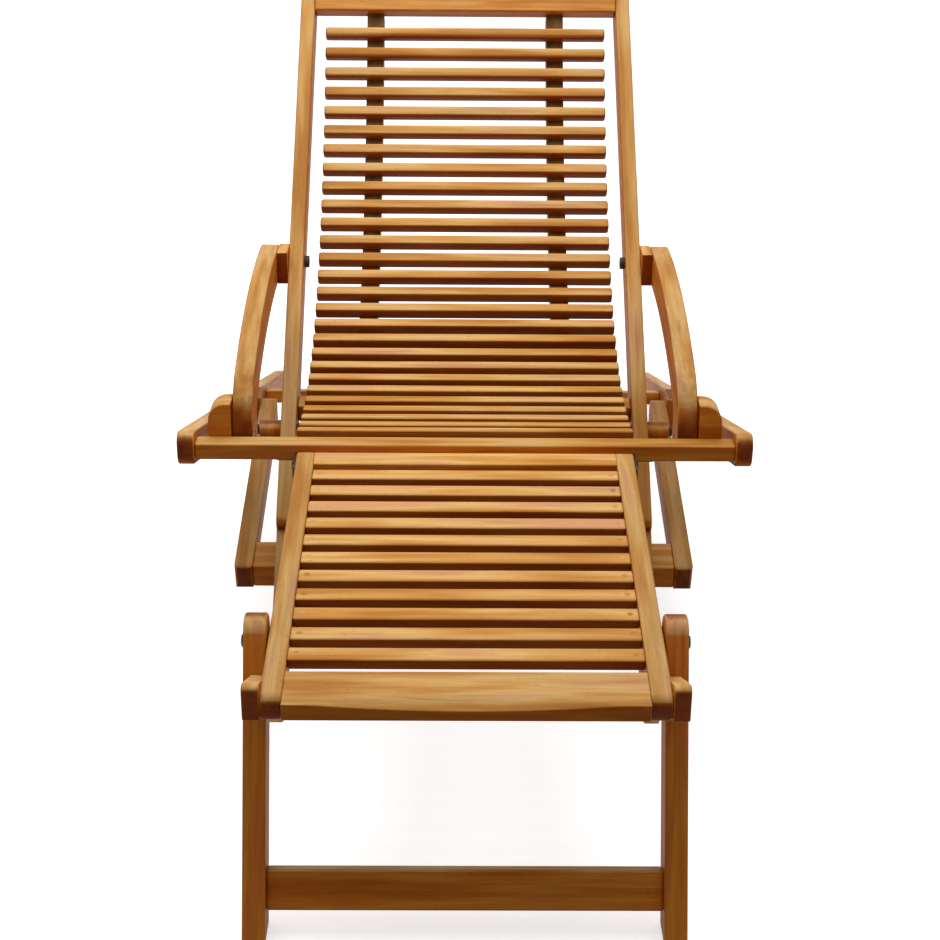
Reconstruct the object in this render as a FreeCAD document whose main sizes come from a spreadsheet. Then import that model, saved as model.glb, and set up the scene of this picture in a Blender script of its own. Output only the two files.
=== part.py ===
import FreeCAD, Part
import math
import os

from FreeCAD import Placement, Rotation, Vector

# Steamer deck chair in oiled hardwood. X runs across the chair, Y to the rear, Z up.
# Side views are drawn from the front face of the crossbar, and moved to the middle of the chair.

doc = FreeCAD.newDocument("DeckChair")
sheet = doc.addObject("Spreadsheet::Sheet", "Sizes")

DRIVING_SIZES = {
    # Seat and back slats, laid along one hollow curve
    "slat_length": 400.0,
    "slat_face": 14.6,
    "slat_depth": 15.0,
    "slat_edge": 3.0,
    "slat_pitch": 29.64,
    "seat_front_reach": 42.0,
    "seat_front_height": 333.3,
    "seat_front_dip": 11.37,
    "seat_radius": 495.6,
    "waist_radius": 792.2,
    "back_radius": 870.5,
    "seat_share": 12.5,
    "waist_share": 7.0,
    # Curved runners below the slats
    "runner_middle": 129.0,
    "runner_thick": 24.0,
    "runner_depth": 30.0,
    "runner_overhang": 8.0,
    # Back frame
    "slat_end_gap": 16.0,
    "stile_thick": 20.0,
    "stile_depth": 45.0,
    "stile_slope": 42.08,
    "stile_foot_reach": 95.0,
    "stile_length": 1111.0,
    "shoulder_height": 178.0,
    "shoulder_step": 14.0,
    "top_rail_gap": 39.5,
    "top_rail_depth": 35.0,
    "top_rail_thick": 30.0,
    "mid_rail_place": 196.0,
    "mid_rail_width": 26.0,
    "mid_rail_thick": 24.0,
    # Rear frame
    "side_rail_thick": 20.0,
    "side_rail_depth": 40.0,
    "side_rail_slope": 16.95,
    "side_rail_height": 326.0,
    "side_rail_nose": 4.0,
    "side_rail_reach": 1085.0,
    "crossbar_width": 25.0,
    "crossbar_thick": 20.0,
    "crossbar_height": 331.0,
    "frame_pivot_reach": 224.0,
    "rear_stretcher_reach": 766.0,
    "rear_stretcher_width": 38.0,
    "rear_stretcher_thick": 20.0,
    # Arms and the brackets that hold their front ends
    "arm_spacer_width": 14.0,
    "arm_thick": 24.0,
    "arm_depth": 46.0,
    "arm_pivot_reach": 405.0,
    "arm_pivot_height": 428.0,
    "arm_crown_drop": 9.0,
    "arm_front_drop": 54.0,
    "arm_nose_gap": 3.0,
    "arm_foot_height": 306.0,
    "bracket_gap": 10.0,
    "bracket_thick": 18.0,
    "bracket_width": 36.0,
    "bracket_height": 371.0,
    "bracket_foot": 304.0,
    "peg_reach": 52.0,
    "peg_height": 322.0,
    # Prop frame
    "prop_gap": 2.0,
    "prop_thick": 16.0,
    "prop_depth": 36.0,
    "prop_slope": 12.4,
    "prop_length": 378.0,
    "prop_pivot_reach": 484.0,
    "prop_bar_width": 26.0,
    "prop_bar_thick": 33.0,
    "prop_block_thick": 23.5,
    "prop_block_width": 42.0,
    "prop_block_height": 60.0,
    # Footrest
    "foot_slat_length": 348.0,
    "foot_slat_width": 21.0,
    "foot_slat_thick": 13.0,
    "foot_slat_pitch": 33.9,
    "foot_slat_start": 32.5,
    "foot_rail_thick": 21.0,
    "foot_rail_depth": 30.0,
    "foot_rail_length": 454.0,
    "foot_slope": 7.1,
    "foot_pin_reach": 17.0,
    "foot_pin_height": 311.8,
    "foot_rear_width": 34.0,
    "foot_board_thick": 16.0,
    "apron_width": 56.0,
    "apron_overhang": 9.0,
    "apron_scoop": 6.0,
    "foot_bracket_thick": 3.0,
    "foot_bracket_leaf": 26.0,
    # Footrest legs and their stop blocks
    "leg_gap": 2.0,
    "leg_thick": 23.0,
    "leg_depth": 40.0,
    "leg_slope": 23.5,
    "leg_pivot_along": 341.6,
    "leg_crown": 28.0,
    "leg_stretcher_drop": 246.0,
    "leg_stretcher_width": 41.0,
    "leg_stretcher_thick": 20.0,
    "stop_block_thick": 17.0,
    "stop_block_top": 279.0,
    "stop_block_foot": 242.5,
    # Ironwork
    "bolt_radius": 5.0,
    "pin_radius": 4.0,
    "peg_radius": 5.0,
    "head_radius": 9.0,
    "head_height": 4.0,
    "sleeve_radius": 12.0,
    "spacer_radius": 16.0,
    # Fits and edges
    "running_fit": 0.05,
    "seat_gap": 0.3,
    "edge_round": 2.5,
}

SEAT_SLATS = 27
SEAT_SLATS_PER_NODE = 3
FOOT_SLATS = 11

for row, (alias, number) in enumerate(DRIVING_SIZES.items(), start=1):
    sheet.set(f"A{row}", alias.replace("_", " "))
    sheet.set(f"B{row}", str(number))
    sheet.setAlias(f"B{row}", alias)
doc.recompute()

nodes = {}


def size(alias):
    """A driving size, read from the sheet."""
    return float(getattr(sheet, alias))


def number(expression):
    """The value of an expression on the sheet."""
    return float(sheet.evalExpression(expression))


def sine(degrees):
    return math.sin(math.radians(degrees))


def cosine(degrees):
    return math.cos(math.radians(degrees))


def tangent(degrees):
    return math.tan(math.radians(degrees))


# Widths across the chair, as expressions on the sheet

STILE_INNER = "(Sizes.slat_length / 2 + Sizes.slat_end_gap)"
STILE_OUTER = f"({STILE_INNER} + Sizes.stile_thick)"
ARM_INNER = f"({STILE_OUTER} + Sizes.arm_spacer_width)"
ARM_OUTER = f"({ARM_INNER} + Sizes.arm_thick)"
PROP_INNER = f"({ARM_OUTER} + Sizes.prop_gap)"
PROP_OUTER = f"({PROP_INNER} + Sizes.prop_thick)"
BLOCK_INNER = f"({PROP_OUTER} + Sizes.seat_gap)"
SIDE_INNER = f"({BLOCK_INNER} + Sizes.prop_block_thick)"
SIDE_OUTER = f"({SIDE_INNER} + Sizes.side_rail_thick)"
BRACKET_INNER = f"({ARM_OUTER} + Sizes.bracket_gap)"
FOOT_INNER = "(Sizes.foot_slat_length / 2)"
FOOT_OUTER = f"({FOOT_INNER} + Sizes.foot_rail_thick)"
LEG_INNER = f"({FOOT_OUTER} + Sizes.leg_gap)"
LEG_OUTER = f"({LEG_INNER} + Sizes.leg_thick)"


# Places in the side view

SIDE_DROP = tangent(size("side_rail_slope"))


def side_rail_middle(reach):
    """Height of the side rail's centre line at a distance behind the crossbar's front."""
    return size("side_rail_height") - SIDE_DROP * reach


def stile_front(reach):
    """Height of the line along the stile's front face."""
    return (reach + size("stile_foot_reach")) * tangent(size("stile_slope"))


frame_pivot = Vector(0, size("frame_pivot_reach"), side_rail_middle(size("frame_pivot_reach")))
arm_pivot = Vector(0, size("arm_pivot_reach"), size("arm_pivot_height"))
prop_pivot = Vector(0, size("prop_pivot_reach"), side_rail_middle(size("prop_pivot_reach")))
foot_pivot = Vector(0, -size("foot_pin_reach"), size("foot_pin_height"))
foot_turn = Rotation(Vector(1, 0, 0), size("foot_slope"))
leg_pivot = foot_pivot + foot_turn.multVec(Vector(0, -size("leg_pivot_along"), 0))
leg_reach = leg_pivot.z / cosine(size("leg_slope"))
peg_place = Vector(0, size("peg_reach"), size("peg_height"))

leg_foot_front = (leg_pivot.y - leg_pivot.z * tangent(size("leg_slope"))
                  - size("leg_depth") / 2 / cosine(size("leg_slope")))
TO_MIDDLE = Vector(0, -(leg_foot_front + size("side_rail_reach")) / 2, 0)


# Sketch and body tools

def rounded(corners):
    """Edges of a closed outline, from corners of (y, z, radius)."""
    count = len(corners)
    joints = []
    for index, (y, z, radius) in enumerate(corners):
        here = Vector(y, z, 0)
        before = Vector(corners[index - 1][0], corners[index - 1][1], 0) - here
        after = Vector(corners[(index + 1) % count][0], corners[(index + 1) % count][1], 0) - here
        if radius == 0:
            joints.append((here, None, here))
            continue
        half = before.getAngle(after) / 2
        before.normalize()
        after.normalize()
        middle = before + after
        middle.normalize()
        centre = here + middle * (radius / math.sin(half))
        setback = radius / math.tan(half)
        joints.append((here + before * setback, centre - middle * radius, here + after * setback))
    edges = []
    for index, (start, via, end) in enumerate(joints):
        if via is not None:
            edges.append(Part.Arc(start, via, end))
        following = joints[(index + 1) % count][0]
        if (following - end).Length > 1e-6:
            edges.append(Part.LineSegment(end, following))
    return edges


def chain(points):
    """Edges of a closed outline, from points and (point, "via") marks for arcs."""
    edges = []
    last = points[0]
    via = None
    for entry in list(points[1:]) + [points[0]]:
        if isinstance(entry, tuple):
            via = entry[0]
            continue
        if via is None:
            edges.append(Part.LineSegment(last, entry))
        else:
            edges.append(Part.Arc(last, via, entry))
        last = entry
        via = None
    return edges


def circle(y, z, radius):
    return Part.Circle(Vector(y, z, 0), Vector(0, 0, 1), radius)


def plane(body, role):
    return next(item for item in body.Origin.OriginFeatures if item.Role == role)


def new_sketch(body, role, edges):
    sketch = body.newObject("Sketcher::SketchObject", body.Label + "_outline")
    sketch.AttachmentSupport = [(plane(body, role), "")]
    sketch.MapMode = "FlatFace"
    sketch.addGeometry(edges, False)
    return sketch


def board(label, edges, thickness, inner, turn=Rotation(), at=Vector(), edge=None, sharp_below=None):
    """A flat board on the right side: an outline in the side view, padded outwards."""
    body = doc.addObject("PartDesign::Body", label)
    body.Label = label
    sketch = new_sketch(body, "YZ_Plane", edges)
    pad = body.newObject("PartDesign::Pad", label + "_pad")
    pad.Profile = sketch
    pad.setExpression("Length", thickness)
    body.Placement = Placement(at + TO_MIDDLE, turn)
    body.setExpression(".Placement.Base.x", inner)
    doc.recompute()
    if edge != 0:
        round_edges(body, pad, size("edge_round") if edge is None else edge, sharp_below)
    return body


def round_edges(body, pad, radius, sharp_below):
    """Take the sharp arris off the outline's edges on both faces, above a height if one is given."""
    names = []
    for index, item in enumerate(pad.Shape.Edges, start=1):
        box = item.BoundBox
        bore = isinstance(item.Curve, Part.Circle) and item.isClosed()
        low = sharp_below is not None and item.CenterOfMass.z < sharp_below
        if box.XLength < 1e-6 and not bore and not low:
            names.append(f"Edge{index}")
    fillet = body.newObject("PartDesign::Fillet", pad.Label + "_round")
    fillet.Base = (pad, names)
    fillet.Radius = radius
    body.Tip = fillet
    doc.recompute()


def turned(label, steps, at):
    """A turned piece about the X axis, from (x, radius) corners."""
    body = doc.addObject("PartDesign::Body", label)
    body.Label = label
    corners = [Vector(number(x), radius, 0) for x, radius in steps]
    edges = [Part.LineSegment(a, b) for a, b in zip(corners, corners[1:] + corners[:1])]
    sketch = new_sketch(body, "XY_Plane", edges)
    spin = body.newObject("PartDesign::Revolution", label + "_turned")
    spin.Profile = sketch
    spin.ReferenceAxis = (sketch, ["H_Axis"])
    spin.Angle = 360
    body.Placement = Placement(at + TO_MIDDLE, Rotation())
    doc.recompute()
    return body


def mirrored(source, label):
    """The left piece of a pair, as a mirror image of the right one."""
    twin = doc.addObject("Part::Mirroring", label)
    twin.Label = label
    twin.Source = source
    twin.Normal = Vector(1, 0, 0)
    return twin


def keep(item, label):
    item.Label = label
    nodes[label] = item
    return item


def pair(body, name):
    """Two nodes: the right piece and its mirror image."""
    keep(body, "right_" + name)
    keep(mirrored(body, "left_" + name), "left_" + name)


def group(items, label):
    """One node of several separate solids."""
    holder = doc.addObject("Part::Compound", label)
    holder.Links = items
    keep(holder, label)


def fastener_pair(body, label):
    group([body, mirrored(body, body.Label + "_left")], label)


def bar(label, length, width, thick, turn, at, edge):
    """A bar across the chair, centred, with rounded edges. at is the middle of its section."""
    box = doc.addObject("Part::Box", label + "_blank")
    box.setExpression("Length", length)
    box.setExpression("Width", width)
    box.setExpression("Height", thick)
    doc.recompute()
    middle = Vector(box.Length.Value / 2, box.Width.Value / 2, box.Height.Value / 2)
    box.Placement = Placement(at + TO_MIDDLE - turn.multVec(middle), turn)
    item = doc.addObject("Part::Fillet", label)
    item.Base = box
    item.Edges = [(index, edge, edge) for index in range(1, 13)]
    return item


# Hollow curve of the seat and back, from its front end

RADII = [size("seat_radius"), size("waist_radius"), size("back_radius")]
SPANS = [size("seat_share") * size("slat_pitch"), size("waist_share") * size("slat_pitch")]


def curve_frame(along):
    """Point and slope in degrees on the seat curve at a length from its front end."""
    point = Vector(0, size("seat_front_reach"), size("seat_front_height"))
    slope = -size("seat_front_dip")
    left = along
    for index, radius in enumerate(RADII):
        run = left if index >= len(SPANS) else min(left, SPANS[index])
        turn = math.degrees(run / radius)
        centre = point + Vector(0, -sine(slope), cosine(slope)) * radius
        slope += turn
        point = centre - Vector(0, -sine(slope), cosine(slope)) * radius
        left -= run
        if abs(left) < 1e-9:
            break
    return point, slope


def under_curve(along, depth):
    """A point below the seat curve, as a sketch point."""
    point, slope = curve_frame(along)
    return Vector(point.y + sine(slope) * depth, point.z - cosine(slope) * depth, 0)


def slat_middle(along, depth):
    """Centre of a slat's or rail's section that lies under the curve."""
    point, slope = curve_frame(along)
    turn = Rotation(Vector(1, 0, 0), slope)
    return point + turn.multVec(Vector(0, 0, -depth)), turn


def make_slats():
    """27 slats screwed to the runners, three to a node, counted from the top."""
    slats = []
    for index in range(SEAT_SLATS):
        along = index * size("slat_pitch") + size("slat_face") / 2
        place, turn = slat_middle(along, size("slat_depth") / 2)
        slats.append(bar(f"slat_{index + 1}", "Sizes.slat_length", "Sizes.slat_face",
                         "Sizes.slat_depth", turn, place, size("slat_edge")))
    slats.reverse()
    for first in range(0, SEAT_SLATS, SEAT_SLATS_PER_NODE):
        label = f"slats_{first + 1}_to_{first + SEAT_SLATS_PER_NODE}"
        group(slats[first:first + SEAT_SLATS_PER_NODE], label)


def curve_length():
    """Length of the seat curve from its front end to the top rail."""
    return (SEAT_SLATS - 1) * size("slat_pitch") + size("top_rail_gap")


def make_runners():
    """Two curved runners that carry the slats, sawn to the seat curve."""
    top = size("slat_depth") + size("seat_gap") / 10
    bottom = size("slat_depth") + size("runner_depth")
    marks = [-size("runner_overhang"), SPANS[0], SPANS[0] + SPANS[1], curve_length()]
    outline = []
    for start, end in zip(marks, marks[1:]):
        outline.append(under_curve(start, top))
        outline.append((under_curve((start + end) / 2, top), "via"))
    outline.append(under_curve(marks[-1], top))
    for start, end in zip(marks[::-1], marks[-2::-1]):
        outline.append(under_curve(start, bottom))
        outline.append((under_curve((start + end) / 2, bottom), "via"))
    outline.append(under_curve(marks[0], bottom))
    body = board("right_runner", chain(outline), "Sizes.runner_thick",
                 "Sizes.runner_middle - Sizes.runner_thick / 2", edge=0)
    pair(body, "runner")


def make_back_rails():
    """The top rail, flush with the slats, and the rail under the runners."""
    along = curve_length() + size("top_rail_depth") / 2 + size("seat_gap") / 10
    place, turn = slat_middle(along, size("top_rail_thick") / 2)
    width = f"2 * {STILE_INNER}"
    keep(bar("top_rail_bar", width, "Sizes.top_rail_depth", "Sizes.top_rail_thick",
             turn, place, size("edge_round")), "top_rail")
    depth = (size("slat_depth") + size("runner_depth") + size("seat_gap") / 2
             + size("mid_rail_thick") / 2)
    place, turn = slat_middle(size("mid_rail_place"), depth)
    keep(bar("mid_rail_bar", width, "Sizes.mid_rail_width", "Sizes.mid_rail_thick",
             turn, place, size("edge_round")), "mid_rail")


def along_stile(point):
    """A side view point in the stile's own frame: along its front face, and square to it."""
    turn = Rotation(Vector(1, 0, 0), -size("stile_slope"))
    local = turn.multVec(point - Vector(0, -size("stile_foot_reach"), 0))
    return local.y, local.z


def make_stiles():
    """Long stiles, each one board from the top rail to the front foot."""
    step = size("shoulder_step")
    depth = size("stile_depth")
    slope = size("stile_slope")
    shoulder = size("shoulder_height") / sine(slope)
    corners = [
        (size("stile_length"), 0, 12),
        (shoulder, 0, step - 1),
        (shoulder, -step, 0),
        (step / tangent(slope), -step, 0),
        (depth / tangent(slope), -depth, 0),
        (size("stile_length"), -depth, 12),
    ]
    holes = [circle(*along_stile(place), size("bolt_radius") + size("running_fit"))
             for place in (frame_pivot, arm_pivot)]
    body = board("right_stile", rounded(corners) + holes, "Sizes.stile_thick", STILE_INNER,
                 Rotation(Vector(1, 0, 0), slope), Vector(0, -size("stile_foot_reach"), 0))
    pair(body, "stile")


def make_side_rails():
    """Side rails that slope from the crossbar down to the rear feet."""
    slope = size("side_rail_slope")
    half = size("side_rail_depth") / 2 / cosine(slope)
    nose = -size("side_rail_nose")
    end = size("side_rail_reach")
    foot = (size("side_rail_height") - half) / SIDE_DROP
    corners = [
        (nose, side_rail_middle(nose) + half, 14),
        (nose, side_rail_middle(nose) - half, 14),
        (foot, 0, 0),
        (end, 0, 6),
        (end, side_rail_middle(end) + half, 4),
    ]
    holes = [
        circle(frame_pivot.y, frame_pivot.z, size("bolt_radius") + size("running_fit")),
        circle(prop_pivot.y, prop_pivot.z, size("pin_radius") + size("running_fit")),
    ]
    pair(board("right_side_rail", rounded(corners) + holes, "Sizes.side_rail_thick", SIDE_INNER),
         "side_rail")


def make_rear_frame_bars():
    """The front crossbar and the low stretcher between the side rails."""
    length = f"2 * {SIDE_INNER}"
    place = Vector(0, size("crossbar_width") / 2,
                   size("crossbar_height") - size("crossbar_thick") / 2)
    keep(bar("crossbar_blank", length, "Sizes.crossbar_width", "Sizes.crossbar_thick",
             Rotation(), place, size("edge_round")), "crossbar")
    reach = size("rear_stretcher_reach")
    keep(bar("rear_stretcher_blank", length, "Sizes.rear_stretcher_width",
             "Sizes.rear_stretcher_thick", Rotation(Vector(1, 0, 0), -size("side_rail_slope")),
             Vector(0, reach, side_rail_middle(reach)), size("edge_round")), "rear_stretcher")


def make_arm_brackets():
    """Upright blocks behind the crossbar, with a peg that the arm's front end hooks over."""
    front = size("crossbar_width")
    back = front + size("bracket_width")
    top = size("bracket_height")
    crown = size("bracket_width") / 2 - 0.5
    corners = [
        (front, size("bracket_foot"), 0),
        (back, size("bracket_foot"), 4),
        (back, top, crown),
        (front, top, crown),
    ]
    hole = circle(peg_place.y, peg_place.z, size("peg_radius") + size("running_fit"))
    pair(board("right_arm_bracket", rounded(corners) + [hole], "Sizes.bracket_thick",
               BRACKET_INNER, edge=2), "arm_bracket")
    reach = f"{BRACKET_INNER} + Sizes.bracket_thick"
    radius = size("peg_radius")
    steps = [(ARM_INNER, 0), (ARM_INNER, radius), (reach, radius), (reach, 0)]
    fastener_pair(turned("right_arm_peg", steps, peg_place), "arm_pegs")


def make_arms():
    """Bowed arms with a turned-down front end that hooks over the bracket's peg."""
    depth = size("arm_depth")
    half = depth / 2
    pivot = arm_pivot
    top = pivot.z + half
    foot = size("arm_foot_height")
    front = size("crossbar_width") + size("arm_nose_gap")
    nose_root = front + depth + 1
    middle = (pivot.y + nose_root) / 2
    crown = Part.Arc(Vector(pivot.y, top, 0),
                     Vector(middle, top - size("arm_crown_drop"), 0),
                     Vector(nose_root, top - size("arm_front_drop"), 0)).toShape().Curve
    centre = crown.Center
    outer = crown.Radius
    inner = outer - depth

    def on_ring(radius, point):
        return centre + (point - centre).normalize() * radius

    rear_top = Vector(pivot.y, top, 0)
    nose_top = Vector(nose_root, top - size("arm_front_drop"), 0)
    outward = (nose_top - centre).normalize()
    nose_radius = (nose_root - front) / (1 + outward.x)
    nose_centre = nose_top - outward * nose_radius
    nose_front = nose_centre - Vector(nose_radius, 0, 0)
    nose_via = nose_centre + (outward - Vector(1, 0, 0)).normalize() * nose_radius
    inner_radius = 26
    back = front + depth + 2
    back_top = size("crossbar_height") + size("arm_nose_gap")
    round_y = back + inner_radius
    reach = inner - inner_radius
    round_centre = Vector(round_y, centre.y + math.sqrt(reach ** 2 - (round_y - centre.x) ** 2), 0)
    inner_front = on_ring(inner, round_centre)
    inner_via = round_centre + ((inner_front - round_centre).normalize()
                                - Vector(1, 0, 0)).normalize() * inner_radius
    rear_bottom = on_ring(inner, rear_top)
    rear_middle = (rear_top + rear_bottom) / 2
    rear_out = (rear_top - rear_middle).normalize()
    rear_via = rear_middle + Vector(rear_out.y, -rear_out.x, 0) * half
    peg = Vector(peg_place.y, peg_place.z, 0)
    slot = size("peg_radius") + 0.6
    drop = peg.y - foot
    outline = [
        rear_top,
        (on_ring(outer, Vector(middle, top, 0)), "via"),
        nose_top,
        (nose_via, "via"),
        nose_front,
        Vector(front + 0.36 * (nose_front.y - foot), foot, 0),
        Vector(peg.x - slot - 0.45 * drop, foot, 0),
        peg - Vector(slot, 0, 0),
        (peg + Vector(0, slot, 0), "via"),
        peg + Vector(slot, 0, 0),
        Vector(peg.x + slot + 0.40 * drop, foot, 0),
        Vector(back, foot, 0),
        Vector(back, round_centre.y, 0),
        (inner_via, "via"),
        inner_front,
        (on_ring(inner, Vector(middle, top, 0)), "via"),
        rear_bottom,
        (rear_via, "via"),
    ]
    hole = circle(pivot.y, pivot.z, size("bolt_radius") + size("running_fit"))
    pair(board("right_arm", chain(outline) + [hole], "Sizes.arm_thick", ARM_INNER, edge=2,
               sharp_below=back_top), "arm")


def make_prop():
    """A swinging prop frame behind the front legs, hung between the side rails."""
    half = size("prop_depth") / 2
    length = size("prop_length")
    turn = Rotation(Vector(1, 0, 0), size("prop_slope"))
    corners = [
        (half, half, half - 0.5),
        (-length, half, half - 0.5),
        (-length, -half, half - 0.5),
        (half, -half, half - 0.5),
    ]
    hole = circle(0, 0, size("pin_radius") + size("running_fit"))
    pair(board("right_prop_board", rounded(corners) + [hole], "Sizes.prop_thick", PROP_INNER,
               turn, prop_pivot, edge=2), "prop_board")
    place = prop_pivot + turn.multVec(Vector(0, -length + size("prop_bar_width") / 2 + 3, 0))
    keep(bar("prop_bar_blank", f"2 * {PROP_INNER}", "Sizes.prop_bar_width",
             "Sizes.prop_bar_thick", turn, place, size("edge_round")), "prop_bar")
    side = size("prop_block_width") / 2
    height = size("prop_block_height") / 2
    block = [
        (-side, height, 3),
        (-side, -height, side - 1),
        (side, -height, side - 1),
        (side, height, 3),
    ]
    hole = circle(0, 0, size("pin_radius") + size("running_fit"))
    pair(board("right_prop_block", rounded(block) + [hole], "Sizes.prop_block_thick",
               BLOCK_INNER, at=prop_pivot, edge=2), "prop_block")


def make_pivot_ironwork():
    """Bolts, sleeves and spacers at the pivots of the frames and arms."""
    head = size("head_radius")
    bolt = size("bolt_radius")
    gap = "Sizes.seat_gap"
    nut_end = f"{STILE_INNER} - {gap} - 6"
    steps = [
        (nut_end, 0), (nut_end, head - 1), (f"{STILE_INNER} - {gap}", head - 1),
        (f"{STILE_INNER} - {gap}", bolt), (f"{SIDE_OUTER} + {gap}", bolt),
        (f"{SIDE_OUTER} + {gap}", head), (f"{SIDE_OUTER} + Sizes.head_height", head - 2),
        (f"{SIDE_OUTER} + Sizes.head_height", 0),
    ]
    fastener_pair(turned("right_frame_bolt", steps, frame_pivot), "frame_bolts")
    bore = bolt + size("running_fit")
    ring = size("sleeve_radius")
    steps = [
        (f"{STILE_OUTER} + {gap}", bore), (f"{STILE_OUTER} + {gap}", ring),
        (SIDE_INNER, ring), (SIDE_INNER, bore),
    ]
    fastener_pair(turned("right_frame_sleeve", steps, frame_pivot), "frame_sleeves")
    steps = [
        (nut_end, 0), (nut_end, head - 1), (f"{STILE_INNER} - {gap}", head - 1),
        (f"{STILE_INNER} - {gap}", bolt), (f"{ARM_OUTER} + {gap}", bolt),
        (f"{ARM_OUTER} + {gap}", head), (f"{ARM_OUTER} + 1.6", head - 4),
        (f"{ARM_OUTER} + 1.6", 0),
    ]
    fastener_pair(turned("right_arm_bolt", steps, arm_pivot), "arm_bolts")
    ring = size("spacer_radius")
    steps = [
        (STILE_OUTER, bore), (STILE_OUTER, ring),
        (f"{ARM_INNER} - {gap}", ring), (f"{ARM_INNER} - {gap}", bore),
    ]
    fastener_pair(turned("right_arm_spacer", steps, arm_pivot), "arm_spacers")
    pin = size("pin_radius")
    steps = [
        (f"{PROP_INNER} + 2", 0), (f"{PROP_INNER} + 2", pin), (f"{SIDE_OUTER} + {gap}", pin),
        (f"{SIDE_OUTER} + {gap}", head - 2), (f"{SIDE_OUTER} + Sizes.head_height", head - 4),
        (f"{SIDE_OUTER} + Sizes.head_height", 0),
    ]
    fastener_pair(turned("right_prop_pin", steps, prop_pivot), "prop_pins")


def make_footrest_frame():
    """Footrest rails, the rear rail by the crossbar and the wide front board."""
    half = size("foot_rail_depth") / 2
    length = size("foot_rail_length")
    corners = [
        (half, half, half - 0.5),
        (-length, half, 11),
        (-length, -half, 11),
        (half, -half, half - 0.5),
    ]
    holes = [
        circle(0, 0, size("pin_radius") + size("running_fit")),
        circle(-size("leg_pivot_along"), 0, size("pin_radius") + size("running_fit")),
    ]
    pair(board("right_footrest_rail", rounded(corners) + holes, "Sizes.foot_rail_thick",
               FOOT_INNER, foot_turn, foot_pivot), "footrest_rail")
    thick = size("foot_board_thick")
    width = size("foot_rear_width")
    rear = size("foot_pin_reach") - 4
    corners = [
        (rear, half, 12),
        (rear - width, half, 2),
        (rear - width, half - thick, 2),
        (rear, half - thick, 2),
    ]
    body = board("footrest_rear_rail", rounded(corners), "Sizes.foot_slat_length",
                 f"-{FOOT_INNER}", foot_turn, foot_pivot, edge=0.5)
    keep(body, "footrest_rear_rail")
    front = length + size("apron_overhang")
    corners = [
        (-front + size("apron_width"), half, 2),
        (-front, half, 4),
        (-front, half - thick - 3, 3),
        (-front + 18, half - thick - 3, 0),
        (-front + 22, half - thick, 0),
        (-front + size("apron_width"), half - thick, 2),
    ]
    body = board("apron_board", rounded(corners), "Sizes.foot_slat_length",
                 f"-{FOOT_INNER}", foot_turn, foot_pivot, edge=0.5)
    scoop = size("apron_scoop")
    chord = size("foot_slat_length") * 0.42
    radius = (chord ** 2 + scoop ** 2) / (2 * scoop)
    hollow = doc.addObject("Part::Cylinder", "apron_hollow")
    hollow.Radius = radius
    hollow.Height = 120
    tilt = foot_turn.multiply(Rotation(Vector(1, 0, 0), 48))
    corner = foot_pivot + foot_turn.multVec(Vector(0, -front, half))
    square = tilt.multVec(Vector(0, -1, 0))
    hollow.Placement = Placement(corner - square * (scoop - radius) + TO_MIDDLE
                                 - tilt.multVec(Vector(0, 0, 60)), tilt)
    cut = doc.addObject("Part::Cut", "apron_cut")
    cut.Base = body
    cut.Tool = hollow
    keep(cut, "footrest_apron")


def make_footrest_slats():
    """Eleven slats between the footrest rails, let in flush with their tops."""
    half = size("foot_rail_depth") / 2
    for index in range(FOOT_SLATS):
        along = size("foot_slat_start") + index * size("foot_slat_pitch") + size("foot_slat_width") / 2
        local = Vector(0, -along, half - size("foot_slat_thick") / 2)
        item = bar(f"foot_slat_{index + 1}", "Sizes.foot_slat_length", "Sizes.foot_slat_width",
                   "Sizes.foot_slat_thick", foot_turn, foot_pivot + foot_turn.multVec(local),
                   size("slat_edge"))
        keep(item, f"footrest_slat_{index + 1}")


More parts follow.
